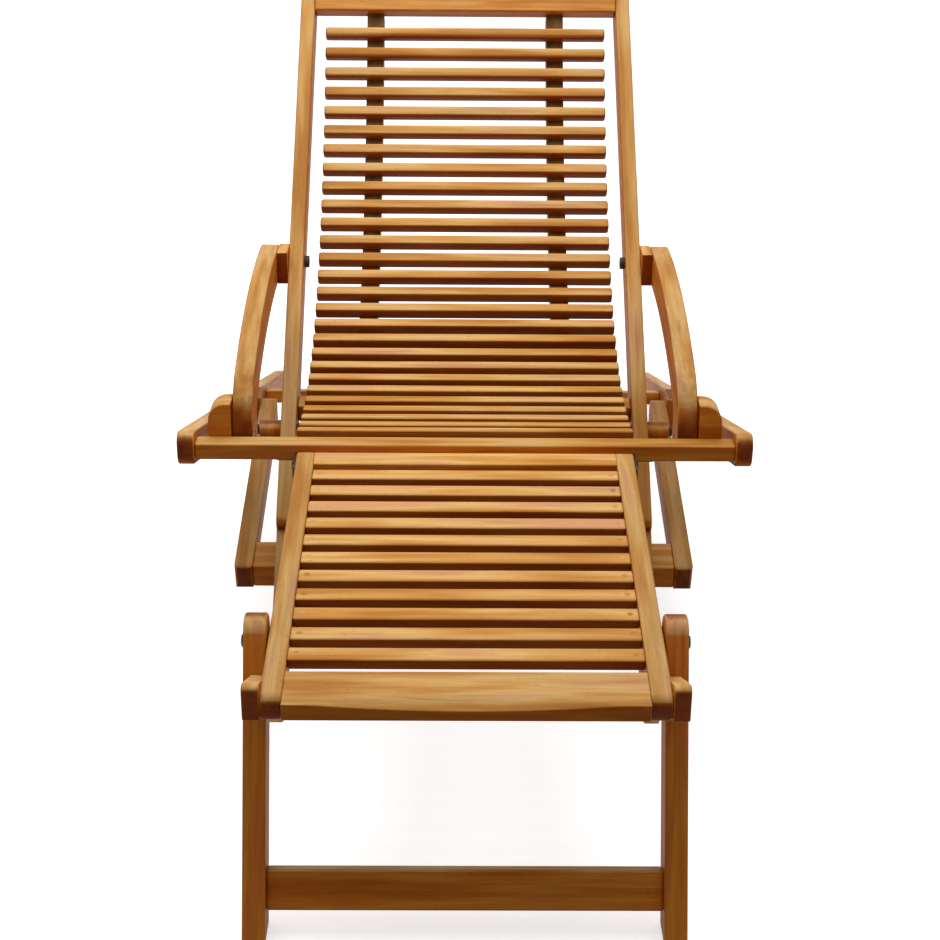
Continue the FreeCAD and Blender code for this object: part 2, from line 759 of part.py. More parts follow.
def make_footrest_ironwork():
    """Angle brackets on the crossbar, and the pins and bolts that the footrest turns on."""
    body = doc.addObject("PartDesign::Body", "right_footrest_bracket")
    thick = size("foot_bracket_thick")
    leaf = size("foot_bracket_leaf")
    ear_radius = 9.5
    ear_inner = number(f"{FOOT_OUTER} + Sizes.seat_gap")
    rise = size("crossbar_height") - size("foot_pin_height") - 2
    low = size("crossbar_height") - size("foot_pin_height") - size("crossbar_thick") + 1
    reach = size("foot_pin_reach")
    ear = [
        (reach, rise, 0),
        (-ear_radius, ear_radius, ear_radius - 0.5),
        (-ear_radius, -ear_radius, ear_radius - 0.5),
        (reach, -ear_radius, 0),
    ]
    hole = circle(0, 0, size("pin_radius") + size("running_fit"))
    sketch = new_sketch(body, "YZ_Plane", rounded(ear) + [hole])
    pad = body.newObject("PartDesign::Pad", "bracket_ear")
    pad.Profile = sketch
    pad.setExpression("Length", "Sizes.foot_bracket_thick")
    plate = [
        (reach, rise, 0),
        (reach - thick, rise, 0),
        (reach - thick, low, 0),
        (reach, low, 0),
    ]
    plate_sketch = new_sketch(body, "YZ_Plane", rounded(plate))
    plate_pad = body.newObject("PartDesign::Pad", "bracket_leaf")
    plate_pad.Profile = plate_sketch
    plate_pad.Length = leaf
    body.Placement = Placement(foot_pivot + TO_MIDDLE, Rotation())
    body.setExpression(".Placement.Base.x", f"{FOOT_OUTER} + Sizes.seat_gap")
    doc.recompute()
    pair(body, "footrest_bracket")
    pin = size("pin_radius")
    head = size("head_radius")
    ear_outer = f"{ear_inner + thick}"
    steps = [
        (f"{FOOT_INNER} + 4", 0), (f"{FOOT_INNER} + 4", pin), (ear_outer, pin),
        (ear_outer, head - 2), (f"{ear_outer} + 2.5", head - 4), (f"{ear_outer} + 2.5", 0),
    ]
    fastener_pair(turned("right_footrest_pin", steps, foot_pivot), "footrest_pins")
    outer = f"{LEG_OUTER} + Sizes.seat_gap"
    steps = [
        (f"{FOOT_INNER} + 4", 0), (f"{FOOT_INNER} + 4", pin), (outer, pin),
        (outer, head - 1), (f"{outer} + 3", head - 3), (f"{outer} + 3", 0),
    ]
    fastener_pair(turned("right_leg_bolt", steps, leg_pivot), "leg_bolts")
    washer_outer = f"{LEG_INNER} - Sizes.seat_gap"
    bore = pin + size("running_fit")
    steps = [
        (FOOT_OUTER, bore), (FOOT_OUTER, head), (washer_outer, head), (washer_outer, bore),
    ]
    fastener_pair(turned("right_leg_washer", steps, leg_pivot), "leg_washers")


def make_footrest_legs():
    """Legs that hang from the footrest rails, with a stretcher near their feet."""
    half = size("leg_depth") / 2
    slope = size("leg_slope")
    crown = size("leg_crown")
    lift = half * tangent(slope)
    corners = [
        (-half, crown, half - 0.5),
        (half, crown, half - 0.5),
        (half, -leg_reach + lift, 0),
        (-half, -leg_reach - lift, 0),
    ]
    hole = circle(0, 0, size("pin_radius") + size("running_fit"))
    turn = Rotation(Vector(1, 0, 0), -slope)
    pair(board("right_footrest_leg", rounded(corners) + [hole], "Sizes.leg_thick", LEG_INNER,
               turn, leg_pivot), "footrest_leg")
    place = leg_pivot + turn.multVec(Vector(0, 0, -size("leg_stretcher_drop")))
    keep(bar("leg_stretcher_blank", f"2 * {LEG_INNER}", "Sizes.leg_stretcher_thick",
             "Sizes.leg_stretcher_width", turn, place, size("edge_round")), "leg_stretcher")


def make_stop_blocks():
    """Blocks outside the rail noses that the footrest legs lean against."""
    front = foot_pivot.y - size("foot_rail_length") * cosine(size("foot_slope"))
    top = size("stop_block_top")
    foot = size("stop_block_foot")
    clear = size("leg_crown") + 2
    slope = size("leg_slope")
    edge = size("leg_depth") / 2 + size("seat_gap")
    root = leg_pivot + Vector(0, -edge * cosine(slope), edge * sine(slope))

    def leg_edge_reach(height):
        return root.y - (root.z - height) * tangent(slope)

    back = leg_pivot.y - clear
    bend = root.z - (root.y - back) / tangent(slope)
    corners = [
        (front, top, 12),
        (front, foot, 4),
        (leg_edge_reach(foot), foot, 0),
        (back, bend, 0),
        (back, top, 4),
    ]
    pair(board("right_stop_block", rounded(corners), "Sizes.stop_block_thick", FOOT_OUTER,
               edge=1.5), "stop_block")


make_slats()
make_runners()
make_back_rails()
make_stiles()
make_side_rails()
make_rear_frame_bars()
make_arm_brackets()
make_arms()
make_prop()
make_pivot_ironwork()
make_footrest_frame()
make_footrest_slats()
make_footrest_ironwork()
make_footrest_legs()
make_stop_blocks()
doc.recompute()

for item in doc.Objects:
    if "Invalid" in item.State or "Error" in item.State:
        raise RuntimeError(f"{item.Label} failed: {item.State}")
for label, item in nodes.items():
    if item.Shape.isNull() or not item.Shape.isValid():
        raise RuntimeError(f"{label} has no valid shape")

for label, place in (("frame pivot", frame_pivot), ("arm pivot", arm_pivot),
                     ("prop pivot", prop_pivot), ("foot pivot", foot_pivot),
                     ("leg pivot", leg_pivot)):
    moved = place + TO_MIDDLE
    print(f"{label}: y {moved.y:.3f} z {moved.z:.3f}")
print("to middle", round(TO_MIDDLE.y, 4))

os.makedirs("parts", exist_ok=True)
for label, item in nodes.items():
    item.Shape.exportStep(f"parts/{label}.step")
print(len(nodes), "nodes written")
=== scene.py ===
import math

import bpy
from mathutils import Matrix, Vector


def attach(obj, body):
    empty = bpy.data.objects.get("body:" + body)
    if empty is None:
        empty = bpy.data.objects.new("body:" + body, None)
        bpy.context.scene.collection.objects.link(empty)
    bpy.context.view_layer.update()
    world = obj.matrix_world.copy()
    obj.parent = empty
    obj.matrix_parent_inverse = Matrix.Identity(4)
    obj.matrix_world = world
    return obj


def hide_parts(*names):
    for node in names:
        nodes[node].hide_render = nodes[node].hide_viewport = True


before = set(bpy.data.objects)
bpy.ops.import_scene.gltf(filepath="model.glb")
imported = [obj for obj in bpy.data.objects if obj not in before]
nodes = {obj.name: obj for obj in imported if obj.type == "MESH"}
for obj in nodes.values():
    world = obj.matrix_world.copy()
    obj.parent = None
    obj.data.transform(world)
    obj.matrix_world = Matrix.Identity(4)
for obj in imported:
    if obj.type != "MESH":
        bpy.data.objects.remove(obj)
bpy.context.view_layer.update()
MM = 0.001


# Seat and back slats. Twenty-seven sawn acacia strips, planed, rounded by hand and oiled.
# They are screwed to the two curved runners, and each strip comes from another board,
# so neighbours differ in tone: some honey, some pinkish, some darker.
def linear(code):
    """A colour written as sRGB hex, turned to the linear value that a shader wants."""
    parts = [int(code[i:i + 2], 16) / 255 for i in (1, 3, 5)]
    return [p / 12.92 if p <= 0.04045 else ((p + 0.055) / 1.055) ** 2.4 for p in parts] + [1.0]


def add_node(tree, kind, settings=None, **inputs):
    """Add a shader node; inputs are values or (node, output) links, keyed by socket name."""
    item = tree.nodes.new(kind)
    for key, value in (settings or {}).items():
        setattr(item, key, value)
    for key, value in inputs.items():
        socket = item.inputs[int(key[1:])] if key[0] == "i" and key[1:].isdigit() else \
            item.inputs[key.replace("_", " ")]
        if isinstance(value, tuple) and hasattr(value[0], "outputs"):
            tree.links.new(value[0].outputs[value[1]], socket)
        else:
            socket.default_value = value
    return item


HONEY = "#CD944A"
STRAW = "#DAAD68"
PINKISH = "#CF9566"
AMBER = "#B87A2E"
STREAK = "#935C20"
PORE = "#5E3716"
# Painted shade: faces turned away from straight up are multiplied by this tint, so they look
# shaded.
PAINTED_SHADE_TINT = "#FFCA70"
# Painted shade in the gaps: the slats' side faces are multiplied by this darker tint.
GAP_PAINTED_SHADE = "#B8843F"
END_GRAIN = "#A8835C"
FIGURE_WIDTH = 6 * MM
FIGURE_LENGTH = 240 * MM
FIBRE_WIDTH = 1.1 * MM
FIBRE_LENGTH = 45 * MM
PORE_WIDTH = 0.9 * MM
PORE_LENGTH = 8 * MM
PATCH_WIDTH = 24 * MM
PATCH_LENGTH = 260 * MM
NOISE_ROUGHNESS = 0.55
SEED_STEPS = (0.731, 1.37, 0.417)
SUNLIT_TILT = 0.50
SHADED_TILT = 0.41
SAWN_START = 0.72
SAWN_FULL = 0.95
SATIN = 0.46
DULL = 0.58
BUMP_STRENGTH = 0.45
BUMP_HEIGHT = 0.12 * MM
OILED_WOOD_IOR = 1.45
OILED_WOOD_SPECULAR = 0.16


def oiled_acacia(name, slope, seed, dark=0.0, depth=PAINTED_SHADE_TINT):
    """Oiled acacia: satin, honey to straw, with soft figure, fibres and short open pores.
    Its upper faces are left as they are, and the faces turned away from straight up are
    multiplied by a painted shade tint, so tops look lit and sides look shaded.
    Its end grain has drunk more oil and is browner.
    slope is None for a board that lies across the chair, or its angle in the side view.
    seed picks the piece of the log. dark darkens the whole board, partly for its own tone and
    partly as painted shade, and lightens it as painted light where it is negative.
    depth is the painted shade tint that the faces turned away from straight up are multiplied by."""
    material = bpy.data.materials.new(name)
    material.use_nodes = True
    tree = material.node_tree
    shader = tree.nodes["Principled BSDF"]
    place = add_node(tree, "ShaderNodeTexCoord")
    turn = (0, 0, math.pi / 2) if slope is None else (-math.radians(slope), 0, 0)
    along = add_node(tree, "ShaderNodeMapping", Vector=(place, "Object"), Rotation=turn,
                     Location=[seed * step for step in SEED_STEPS])

    def noise(width, length, detail, distortion=0.0):
        stretched = add_node(tree, "ShaderNodeMapping", Vector=(along, "Vector"),
                             Scale=(1 / width, 1 / length, 1 / width))
        return add_node(tree, "ShaderNodeTexNoise", Vector=(stretched, "Vector"),
                        Scale=1.0, Detail=detail, Roughness=NOISE_ROUGHNESS,
                        Distortion=distortion)

    def ramp(source, stops):
        item = add_node(tree, "ShaderNodeValToRGB", Fac=source)
        points = item.color_ramp.elements
        while len(points) < len(stops):
            points.new(0.5)
        for point, (where, colour) in zip(points, stops):
            point.position = where
            point.color = colour if isinstance(colour, list) else (colour, colour, colour, 1)
        return item

    def mix(share, below, above, blend="MIX"):
        item = add_node(tree, "ShaderNodeMix", {"data_type": "RGBA", "blend_type": blend},
                        Factor=share, i6=below, i7=above)
        return item, 2

    patch = noise(PATCH_WIDTH, PATCH_LENGTH, 2)
    tone = ramp((patch, "Fac"), [(0.36, linear(AMBER)), (0.46, linear(HONEY)),
                                 (0.56, linear(STRAW)), (0.66, linear(PINKISH))])
    figure = noise(FIGURE_WIDTH, FIGURE_LENGTH, 4, 0.6)
    bands = ramp((figure, "Fac"), [(0.42, 0.0), (0.56, 0.14), (0.70, 0.42)])
    fibre = noise(FIBRE_WIDTH, FIBRE_LENGTH, 3)
    fibre_depth = ramp((fibre, "Fac"), [(0.42, 0.0), (0.74, 0.24)])
    pore = noise(PORE_WIDTH, PORE_LENGTH, 1)
    pore_mask = ramp((pore, "Fac"), [(0.68, 0.0), (0.76, 0.5)])
    colour = mix((bands, "Color"), (tone, "Color"), linear(STREAK))
    colour = mix((fibre_depth, "Color"), colour, linear(STREAK))
    colour = mix((pore_mask, "Color"), colour, linear(PORE))
    # Painted shade: the more a face turns away from straight up, the more it is multiplied by
    # depth, so tops look lit and sides shaded.
    facing = add_node(tree, "ShaderNodeSeparateXYZ", Vector=(place, "Normal"))
    shaded = add_node(tree, "ShaderNodeMapRange", Value=(facing, "Z"), i1=SUNLIT_TILT,
                      i2=SHADED_TILT, i3=0.0, i4=1.0)
    colour = mix((shaded, "Result"), colour, linear(depth), "MULTIPLY")
    turned = add_node(tree, "ShaderNodeMapping", {"vector_type": "NORMAL"},
                      Vector=(place, "Normal"), Rotation=turn)
    lengthwise = add_node(tree, "ShaderNodeSeparateXYZ", Vector=(turned, "Vector"))
    square = add_node(tree, "ShaderNodeMath", {"operation": "ABSOLUTE"}, i0=(lengthwise, "Y"))
    sawn = add_node(tree, "ShaderNodeMapRange", Value=(square, "Value"), i1=SAWN_START,
                    i2=SAWN_FULL, i3=0.0, i4=1.0)
    colour = mix((sawn, "Result"), colour, linear(END_GRAIN), "MULTIPLY")
    shade = add_node(tree, "ShaderNodeHueSaturation", Value=1.0 - dark, Color=colour)
    tree.links.new(shade.outputs["Color"], shader.inputs["Base Color"])
    gloss = add_node(tree, "ShaderNodeMapRange", Value=(fibre, "Fac"), i1=0.3, i2=0.7,
                     i3=SATIN, i4=DULL)
    tree.links.new(gloss.outputs["Result"], shader.inputs["Roughness"])
    relief = add_node(tree, "ShaderNodeMath", {"operation": "SUBTRACT"}, i0=(fibre, "Fac"),
                      i1=(pore_mask, "Color"))
    bump = add_node(tree, "ShaderNodeBump", Strength=BUMP_STRENGTH, Distance=BUMP_HEIGHT,
                    Height=(relief, "Value"))
    tree.links.new(bump.outputs["Normal"], shader.inputs["Normal"])
    shader.inputs["IOR"].default_value = OILED_WOOD_IOR
    shader.inputs["Specular IOR Level"].default_value = OILED_WOOD_SPECULAR
    return material


def finish_node(node, material):
    """Give a solid of the part its material in every slot."""
    mesh = nodes[node].data
    if not mesh.materials:
        mesh.materials.append(material)
    for slot in range(len(mesh.materials)):
        mesh.materials[slot] = material


def blank(name, low, high):
    """A squared blank from its lowest and highest corners in millimetres."""
    bpy.ops.object.select_all(action="DESELECT")
    middle = (Vector(low) + Vector(high)) / 2 * MM
    bpy.ops.mesh.primitive_cube_add(size=1, location=middle)
    piece = bpy.context.object
    piece.name = name
    piece.scale = (Vector(high) - Vector(low)) * MM
    bpy.ops.object.transform_apply(location=True, rotation=True, scale=True)
    return piece


def pick(piece, kind, test):
    """Go to edit mode with the edges or faces whose corners all pass a test on x, y, z in mm."""
    mesh = piece.data
    bpy.ops.object.mode_set(mode="EDIT")
    bpy.ops.mesh.select_mode(type=kind)
    bpy.ops.mesh.select_all(action="DESELECT")
    bpy.ops.object.mode_set(mode="OBJECT")
    for part in (mesh.edges if kind == "EDGE" else mesh.polygons):
        part.select = all(test(*(mesh.vertices[i].co / MM)) for i in part.vertices)
    bpy.ops.object.mode_set(mode="EDIT")


def round_over(piece, test, radius, segments):
    """Round the picked edges with a router bit of a radius in millimetres."""
    pick(piece, "EDGE", test)
    bpy.ops.mesh.bevel(offset=radius * MM, segments=segments, affect="EDGES")
    bpy.ops.object.mode_set(mode="OBJECT")


def set_down(piece, place, slope=0.0):
    """Turn a piece about X and move it, in millimetres, and leave its object at the origin."""
    bpy.ops.object.select_all(action="DESELECT")
    piece.select_set(True)
    bpy.context.view_layer.objects.active = piece
    piece.matrix_world = (Matrix.Translation(Vector(place) * MM)
                          @ Matrix.Rotation(math.radians(slope), 4, "X"))
    bpy.ops.object.transform_apply(location=True, rotation=True, scale=True)


def finish(piece, material, body, replaced=(), arris=0.0):
    """Break the sharp edges, then give the piece its material and body, and hide the parts it
    replaces.
    """
    bpy.ops.object.select_all(action="DESELECT")
    piece.select_set(True)
    bpy.context.view_layer.objects.active = piece
    if arris:
        eased = piece.modifiers.new("arris", "BEVEL")
        eased.width = arris * MM
        eased.segments = 3
        eased.limit_method = "ANGLE"
        eased.angle_limit = math.radians(35)
        bpy.ops.object.modifier_apply(modifier=eased.name)
    bpy.ops.object.shade_smooth_by_angle(angle=math.radians(30))
    piece.data.materials.clear()
    piece.data.materials.append(material)
    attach(piece, body)
    if replaced:
        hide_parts(*replaced)


def again(piece, name):
    """A copy of a piece with its own mesh."""
    bpy.ops.object.select_all(action="DESELECT")
    piece.select_set(True)
    bpy.context.view_layer.objects.active = piece
    bpy.ops.object.duplicate()
    copy = bpy.context.object
    copy.name = name
    return copy


def join(pieces, name):
    """One object of several separate pieces."""
    bpy.ops.object.select_all(action="DESELECT")
    for piece in pieces:
        piece.select_set(True)
    bpy.context.view_layer.objects.active = pieces[0]
    if len(pieces) > 1:
        bpy.ops.object.join()
    pieces[0].name = name
    return pieces[0]


CROSSBAR_FRONT = -294.997
SLAT_LENGTH = 400
SLAT_FACE = 15.6
SLAT_DEPTH = 16.5
SLAT_ROUND = 3
SLAT_START = 7.3
SLAT_PITCH = 29.64
SEAT_START = (CROSSBAR_FRONT + 42, 333.3)
SEAT_DIP = -11.37
SEAT_ARCS = ((495.6, 12.5 * SLAT_PITCH), (792.2, 7 * SLAT_PITCH), (870.5, math.inf))
SLATS = 27
SLATS_PER_NODE = 3
SEAT_SLAT_SHADE = -0.05


def seat_curve(along):
    """Place and slope of the hollow seat line, in mm and degrees, at a length from its front."""
    y, z = SEAT_START
    slope = math.radians(SEAT_DIP)
    for radius, span in SEAT_ARCS:
        run = min(along, span)
        end = slope + run / radius
        y += radius * (math.sin(end) - math.sin(slope))
        z += radius * (math.cos(slope) - math.cos(end))
        slope = end
        along -= run
        if along <= 0:
            break
    return y, z, math.degrees(slope)


first_slat = blank("slat", (-SLAT_LENGTH / 2, -SLAT_FACE / 2, -SLAT_DEPTH),
                   (SLAT_LENGTH / 2, SLAT_FACE / 2, 0))
round_over(first_slat, lambda x, y, z: True, SLAT_ROUND, 3)
for first in range(1, SLATS, SLATS_PER_NODE):
    three = []
    for number in range(first, first + SLATS_PER_NODE):
        y, z, slope = seat_curve((SLATS - number) * SLAT_PITCH + SLAT_START)
        three.append(again(first_slat, f"slat_{number}"))
        set_down(three[-1], (0, y, z), slope)
    node = f"slats_{first}_to_{first + SLATS_PER_NODE - 1}"
    # The slats' side faces take the darker gap tint, painted shade for the gaps between them.
    wood = oiled_acacia("acacia_" + node, None, first * 1.9, SEAT_SLAT_SHADE, GAP_PAINTED_SHADE)
    finish(join(three, node + "_let_in"), wood, "back_frame", (node,))
bpy.data.objects.remove(first_slat)


# Back frame. Two long stiles, the top rail between them and a rail under the runners,
# planed acacia with eased edges, joined with glued dowels and oiled.
STILE_SLOPE = 42.08
STILE_SHADE = 0.09
RUNNER_SLOPE = 30
# The runners show only in the slats' shadow, so they are darkened heavily as painted shade.
RUNNER_SHADE = 0.68
TOP_RAIL_SHADE = -0.1
MID_RAIL_SHADE = 0.1
for seed, side in enumerate(("left", "right")):
    finish_node(side + "_stile",
                oiled_acacia(f"acacia_{side}_stile", STILE_SLOPE, 31 + seed * 7, STILE_SHADE))
    finish_node(side + "_runner",
                oiled_acacia(f"acacia_{side}_runner", RUNNER_SLOPE, 47 + seed * 5, RUNNER_SHADE))
finish_node("top_rail", oiled_acacia("acacia_top_rail", None, 61, TOP_RAIL_SHADE))
finish_node("mid_rail", oiled_acacia("acacia_mid_rail", None, 63, MID_RAIL_SHADE))


# Rear frame. Sloping side rails, the front crossbar, the low stretcher and the prop frame's
# hinge blocks, all of oiled acacia, dowelled and screwed.
SIDE_SLOPE = -16.95
CROSSBAR_SHADE = 0.06
REAR_STRETCHER_SHADE = 0.05
for seed, side in enumerate(("left", "right")):
    finish_node(side + "_side_rail",
                oiled_acacia(f"acacia_{side}_side_rail", SIDE_SLOPE, 71 + seed * 9))
    finish_node(side + "_prop_block", oiled_acacia(f"acacia_{side}_block", 90, 87 + seed * 3))
finish_node("crossbar", oiled_acacia("acacia_crossbar", None, 91, CROSSBAR_SHADE))
finish_node("rear_stretcher",
            oiled_acacia("acacia_rear_stretcher", None, 95, REAR_STRETCHER_SHADE))


# Arm brackets. Stout acacia blocks behind the crossbar, one beside each arm's front end,
# sawn with a rounded outer shoulder and screwed to the bar. The arm hooks over their pegs.
BRACKET_INNER = 274.8
BRACKET_OUTER = 302
BRACKET_FRONT = CROSSBAR_FRONT + 25
BRACKET_BACK = BRACKET_FRONT + 36
BRACKET_FOOT = 304
BRACKET_TOP = 371
BRACKET_SHOULDER = 21
for seed, (side, mirror) in enumerate((("left", -1), ("right", 1))):
    edges = sorted((mirror * BRACKET_INNER, mirror * BRACKET_OUTER))
    block = blank(side + "_arm_bracket_block", (edges[0], BRACKET_FRONT, BRACKET_FOOT),
                  (edges[1], BRACKET_BACK, BRACKET_TOP))
    round_over(block, lambda x, y, z: abs(x) > BRACKET_OUTER - 1 and z > BRACKET_TOP - 1,
               BRACKET_SHOULDER, 10)
    finish(block, oiled_acacia(f"acacia_{side}_bracket", None, 83 + seed * 3), "rear_frame",
           (side + "_arm_bracket",), arris=2)


# Arms. Bowed boards sawn to shape from wide acacia, rounded over on every edge and oiled.
# Each turns on a bolt at the stile, and its turned-down front end hooks over a peg.
ARM_SLOPE = 8
ARM_SHADE = 0.12
for seed, side in enumerate(("left", "right")):
    finish_node(side + "_arm",
                oiled_acacia(f"acacia_{side}_arm", ARM_SLOPE, 101 + seed * 6, ARM_SHADE))


# Arm blocks. A block as deep as the arm's end fills the gap between each arm and its stile,
# acacia like the rest. The arm's bolt runs through it, and its rear corners are rounded.
ARM_BLOCK_INNER = 236.4
ARM_BLOCK_OUTER = 249.6
ARM_BLOCK_FRONT = 76
ARM_BLOCK_BACK = 130
ARM_BLOCK_FOOT = 407.5
ARM_BLOCK_TOP = 450
ARM_BLOCK_ROUND = 12
arm_blocks = []
for mirror in (-1, 1):
    edges = sorted((mirror * ARM_BLOCK_INNER, mirror * ARM_BLOCK_OUTER))
    arm_blocks.append(blank("arm_block", (edges[0], ARM_BLOCK_FRONT, ARM_BLOCK_FOOT),
                            (edges[1], ARM_BLOCK_BACK, ARM_BLOCK_TOP)))
    round_over(arm_blocks[-1], lambda x, y, z: y > ARM_BLOCK_BACK - 1, ARM_BLOCK_ROUND, 6)
finish(join(arm_blocks, "arm_blocks"), oiled_acacia("acacia_arm_blocks", 0, 191), "back_frame",
       ("arm_spacers",), arris=1.5)


# Prop frame. Two short stout boards and a deep bar that swing below the seat, planed acacia.
# The boards are bored for the pins that hang them from the hinge blocks on the side rails.
def rod(radius, length, middle=(0, 0, 0), turn=(0, 0, 0), sides=32):
    """A round blank along Z, turned about its middle, from sizes in millimetres."""
    bpy.ops.object.select_all(action="DESELECT")
    bpy.ops.mesh.primitive_cylinder_add(vertices=sides, radius=radius * MM, depth=length * MM,
                                        location=Vector(middle) * MM, rotation=turn)
    piece = bpy.context.object
    bpy.ops.object.transform_apply(location=True, rotation=True, scale=True)
    return piece


def cut_away(piece, cutter):
    """Take the shape of a cutter out of a piece, and throw the cutter away."""
    bpy.ops.object.select_all(action="DESELECT")
    bpy.context.view_layer.objects.active = piece
    cut = piece.modifiers.new("cut", "BOOLEAN")
    cut.operation = "DIFFERENCE"
    cut.object = cutter
    bpy.ops.object.modifier_apply(modifier=cut.name)
    bpy.data.objects.remove(cutter)


PROP_SLOPE = 12.4
PROP_SHADE = 0.2
PROP_PIVOT = (0, 189.003, 178.488)
PROP_INNER = 269
PROP_OUTER = 292
PROP_LENGTH = 378
PROP_HALF_DEPTH = 18
PROP_CORNER = 6
PIN_BORE = 7.3
PIN_END = 277.5
DRILL_LENGTH = 40
ALONG_X = (0, math.pi / 2, 0)
for seed, (side, mirror) in enumerate((("left", -1), ("right", 1))):
    edges = sorted((mirror * PROP_INNER, mirror * PROP_OUTER))
    board = blank(side + "_prop_frame_board", (edges[0], -PROP_LENGTH, -PROP_HALF_DEPTH),
                  (edges[1], PROP_HALF_DEPTH, PROP_HALF_DEPTH))
    round_over(board, lambda x, y, z: y > PROP_HALF_DEPTH - 1, PROP_HALF_DEPTH - 0.5, 10)
    round_over(board, lambda x, y, z: y < 1 - PROP_LENGTH, PROP_CORNER, 5)
    cut_away(board, rod(PIN_BORE, DRILL_LENGTH, (mirror * (PIN_END + DRILL_LENGTH / 2), 0, 0),
                        ALONG_X, 48))
    set_down(board, PROP_PIVOT, PROP_SLOPE)
    wood = oiled_acacia(f"acacia_{side}_prop_board", PROP_SLOPE, 113 + seed * 4, PROP_SHADE)
    finish(board, wood, "prop", (side + "_prop_board",), arris=2)
BAR_FRONT = -375
BAR_WIDTH = 52
BAR_HALF_THICK = 16.5
bar = blank("prop_frame_bar", (-PROP_INNER, BAR_FRONT, -BAR_HALF_THICK),
            (PROP_INNER, BAR_FRONT + BAR_WIDTH, BAR_HALF_THICK))
set_down(bar, PROP_PIVOT, PROP_SLOPE)
finish(bar, oiled_acacia("acacia_prop_bar", None, 119), "prop", ("prop_bar",),
       arris=2.5)


# Footrest. Two rails, a rear rail, a wide scooped front board and eleven slats let in flush,
# of the same oiled acacia, with rounded corners.
FOOT_SLOPE = 7.1
FOOT_SLATS = 11
FOOT_RAIL_SHADE = 0.13
FOOT_REAR_SHADE = -0.12
FOOT_SLAT_SHADE = -0.14
for seed, side in enumerate(("left", "right")):
    finish_node(side + "_footrest_rail",
                oiled_acacia(f"acacia_{side}_footrest_rail", FOOT_SLOPE, 127 + seed * 8,
                             FOOT_RAIL_SHADE))
finish_node("footrest_rear_rail",
            oiled_acacia("acacia_footrest_rear_rail", None, 137, FOOT_REAR_SHADE))
# The footrest slats' side faces take the darker gap tint, painted shade for the gaps between
# them.
for index in range(1, FOOT_SLATS + 1):
    finish_node(f"footrest_slat_{index}",
                oiled_acacia(f"acacia_footrest_slat_{index}", None, 143 + index * 2.3,
                             FOOT_SLAT_SHADE, GAP_PAINTED_SHADE))


# Apron. The footrest's wide front board, thick acacia with a lip below its front edge.
# Its upper front edge is scooped in the middle, where the calves rest, and sanded soft.
FOOT_PIVOT = (0, -311.997, 311.8)
APRON_HALF = 174
APRON_FRONT = -463
APRON_BACK = -410.3
APRON_TOP = 15
APRON_UNDER = -1
LIP_DEPTH = 3
LIP_BACK = APRON_FRONT + 19
SCOOP_DIP = 6.4
SCOOP_HALF = 150
SCOOP_TILT = 25
SCOOP_LENGTH = 200
SCOOP_SIDES = 720
# Painted shade: the apron's faces turned away from straight up are multiplied by this tint.
APRON_PAINTED_SHADE = "#DFA54A"
apron = blank("scooped_apron", (-APRON_HALF, APRON_FRONT, APRON_UNDER),
              (APRON_HALF, APRON_BACK, APRON_TOP))
pick(apron, "FACE", lambda x, y, z: True)
bpy.ops.mesh.bisect(plane_co=(0, LIP_BACK * MM, 0), plane_no=(0, 1, 0))
pick(apron, "FACE", lambda x, y, z: y < LIP_BACK + 1 and z < APRON_UNDER + 1)
bpy.ops.mesh.extrude_region_move(TRANSFORM_OT_translate={"value": (0, 0, -LIP_DEPTH * MM)})
bpy.ops.object.mode_set(mode="OBJECT")
scoop_radius = (SCOOP_HALF ** 2 + SCOOP_DIP ** 2) / (2 * SCOOP_DIP)
outward = Vector((0, -math.sin(math.radians(SCOOP_TILT)), math.cos(math.radians(SCOOP_TILT))))
middle = Vector((0, APRON_FRONT, APRON_TOP)) + outward * (scoop_radius - SCOOP_DIP)
cut_away(apron, rod(scoop_radius, SCOOP_LENGTH, middle, (math.radians(SCOOP_TILT - 90), 0, 0),
                    SCOOP_SIDES))
set_down(apron, FOOT_PIVOT, FOOT_SLOPE)
finish(apron, oiled_acacia("acacia_footrest_apron", None, 141, 0.0, APRON_PAINTED_SHADE), "footrest",
       ("footrest_apron",), arris=1.6)


# Stop blocks. Small acacia wedges fixed to the outside of the footrest rails' noses,
# where the legs lean against them. They are sawn to a slope and rounded at the front.
BLOCK_INNER = 195.3
BLOCK_OUTER = 212
BLOCK_FRONT = -763
BLOCK_BACK = -684
BLOCK_FOOT = 245.7
BLOCK_TOP = 286
BLOCK_TAIL = 249.5
BLOCK_CROWN = 13
for seed, (side, mirror) in enumerate((("left", -1), ("right", 1))):
    edges = sorted((mirror * BLOCK_INNER, mirror * BLOCK_OUTER))
    wedge = blank(side + "_stop_wedge", (edges[0], BLOCK_FRONT, BLOCK_FOOT),
                  (edges[1], BLOCK_BACK, BLOCK_TOP))
    pick(wedge, "EDGE", lambda x, y, z: y > BLOCK_BACK - 1 and z > BLOCK_TOP - 1)
    bpy.ops.transform.translate(value=(0, 0, (BLOCK_TAIL - BLOCK_TOP) * MM))
    bpy.ops.object.mode_set(mode="OBJECT")
    round_over(wedge, lambda x, y, z: y < BLOCK_FRONT + 1 and z > BLOCK_TOP - 1, BLOCK_CROWN, 8)
    finish(wedge, oiled_acacia(f"acacia_{side}_stop_block", 0, 131 + seed * 5), "footrest",
           (side + "_stop_block",), arris=1.5)


# Footrest legs. Two leaning legs with rounded tops and a stretcher between them,
# planed acacia, bolted to the footrest rails.
LEG_SLOPE = 66.5
LEG_SHADE = 0.04
for seed, side in enumerate(("left", "right")):
    finish_node(side + "_footrest_leg",
                oiled_acacia(f"acacia_{side}_footrest_leg", LEG_SLOPE, 171 + seed * 6,
                             LEG_SHADE))
finish_node("leg_stretcher", oiled_acacia("acacia_leg_stretcher", None, 179, LEG_SHADE))


